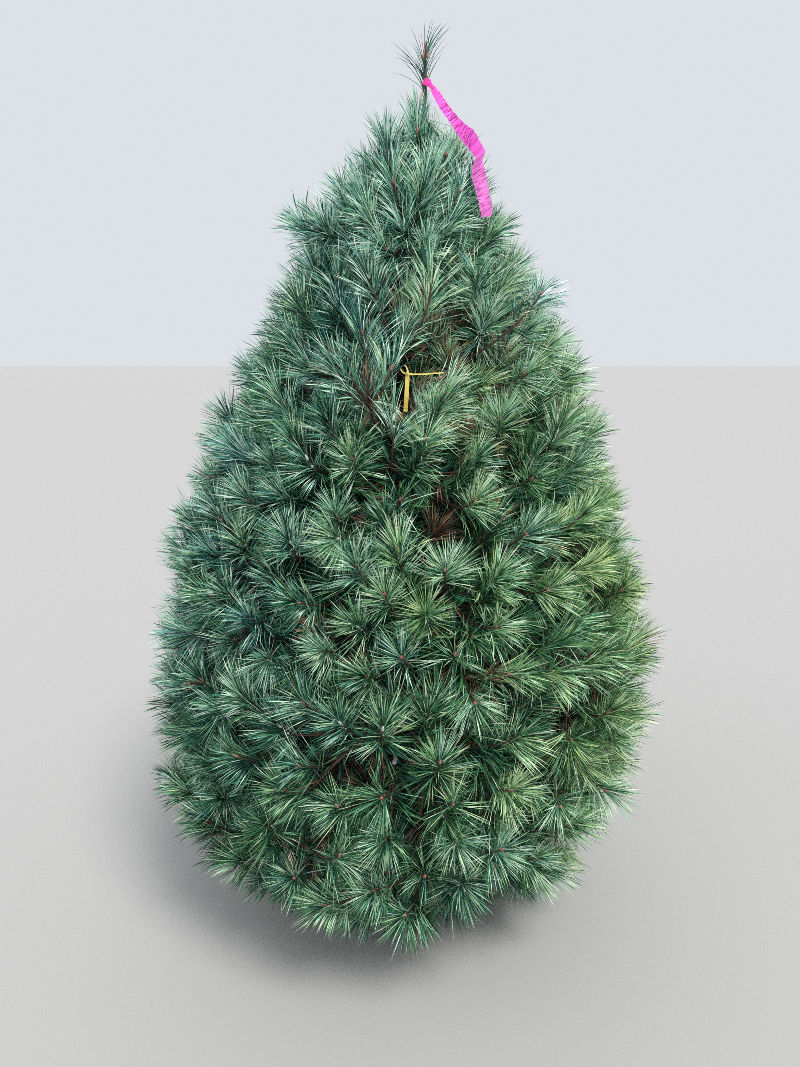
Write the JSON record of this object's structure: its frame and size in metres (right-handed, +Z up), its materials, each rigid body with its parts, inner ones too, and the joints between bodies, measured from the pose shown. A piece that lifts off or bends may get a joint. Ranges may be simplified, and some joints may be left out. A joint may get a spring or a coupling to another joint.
{
  "type": "pine tree",
  "caption": "Sheared young pine with a conical crown of long soft needles in whorled tiers, rooted by a short trunk; for planting in a scene or as a farm Christmas tree.",
  "frame": {"origin": "centre of the trunk's flat cut at ground level", "axes": "+Z up the trunk, -Y towards the front of the tree, the side with the open gap under its upper tier, +X to the right seen from the front"},
  "size_m": [1.3392, 1.332, 2.2035],
  "materials": {
    "bark": "matte smooth young bark, dark grey-brown",
    "needles": "soft satin needles, blue-green to mid green",
    "needles_top": "soft satin needles, bluer towards the top",
    "twigs": "matte slender twigs",
    "buds": "matte red-brown scaly buds",
    "resin": "dried pale resin on sheared twig ends",
    "ribbon": "thin hot pink flagging film, satin",
    "tag": "thin yellow plastic strap, satin"
  },
  "bodies": {
    "root": {"bough_tier1_a": "bark", "bough_tier1_b": "bark", "bough_tier1_c": "bark", "bough_tier1_d": "bark", "bough_tier1_e": "bark", "bough_tier2_a": "bark", "bough_tier2_b": "bark", "bough_tier2_c": "bark", "bough_tier2_d": "bark", "bough_tier2_e": "bark", "bough_tier3_a": "bark", "bough_tier3_b": "bark", "bough_tier3_c": "bark", "bough_tier3_d": "bark", "bough_tier3_e": "bark", "bough_tier4_a": "bark", "bough_tier4_b": "bark", "bough_tier4_c": "bark", "bough_tier4_d": "bark", "bough_tier5_a": "bark", "bough_tier5_b": "bark", "bough_tier5_c": "bark", "bough_tier5_d": "bark", "bough_tier6_a": "bark", "bough_tier6_b": "bark", "bough_tier6_c": "bark", "bough_tier6_d": "bark", "needles_leader": "needles_top", "needles_tier1_a": "needles", "needles_tier1_b": "needles", "needles_tier1_c": "needles", "needles_tier1_d": "needles", "needles_tier1_e": "needles", "needles_tier2_a": "needles", "needles_tier2_b": "needles", "needles_tier2_c": "needles", "needles_tier2_d": "needles", "needles_tier2_e": "needles", "needles_tier3_a": "needles", "needles_tier3_b": "needles", "needles_tier3_c": "needles", "needles_tier3_d": "needles", "needles_tier3_e": "needles", "needles_tier4_a": "needles", "needles_tier4_b": "needles", "needles_tier4_c": "needles", "needles_tier4_d": "needles", "needles_tier5_a": "needles_top", "needles_tier5_b": "needles_top", "needles_tier5_c": "needles_top", "needles_tier5_d": "needles_top", "needles_tier6_a": "needles_top", "needles_tier6_b": "needles_top", "needles_tier6_c": "needles_top", "needles_tier6_d": "needles_top", "needles_top_a": "needles_top", "needles_top_b": "needles_top", "needles_top_c": "needles_top", "trunk": "bark"}
  },
  "joints": []
}
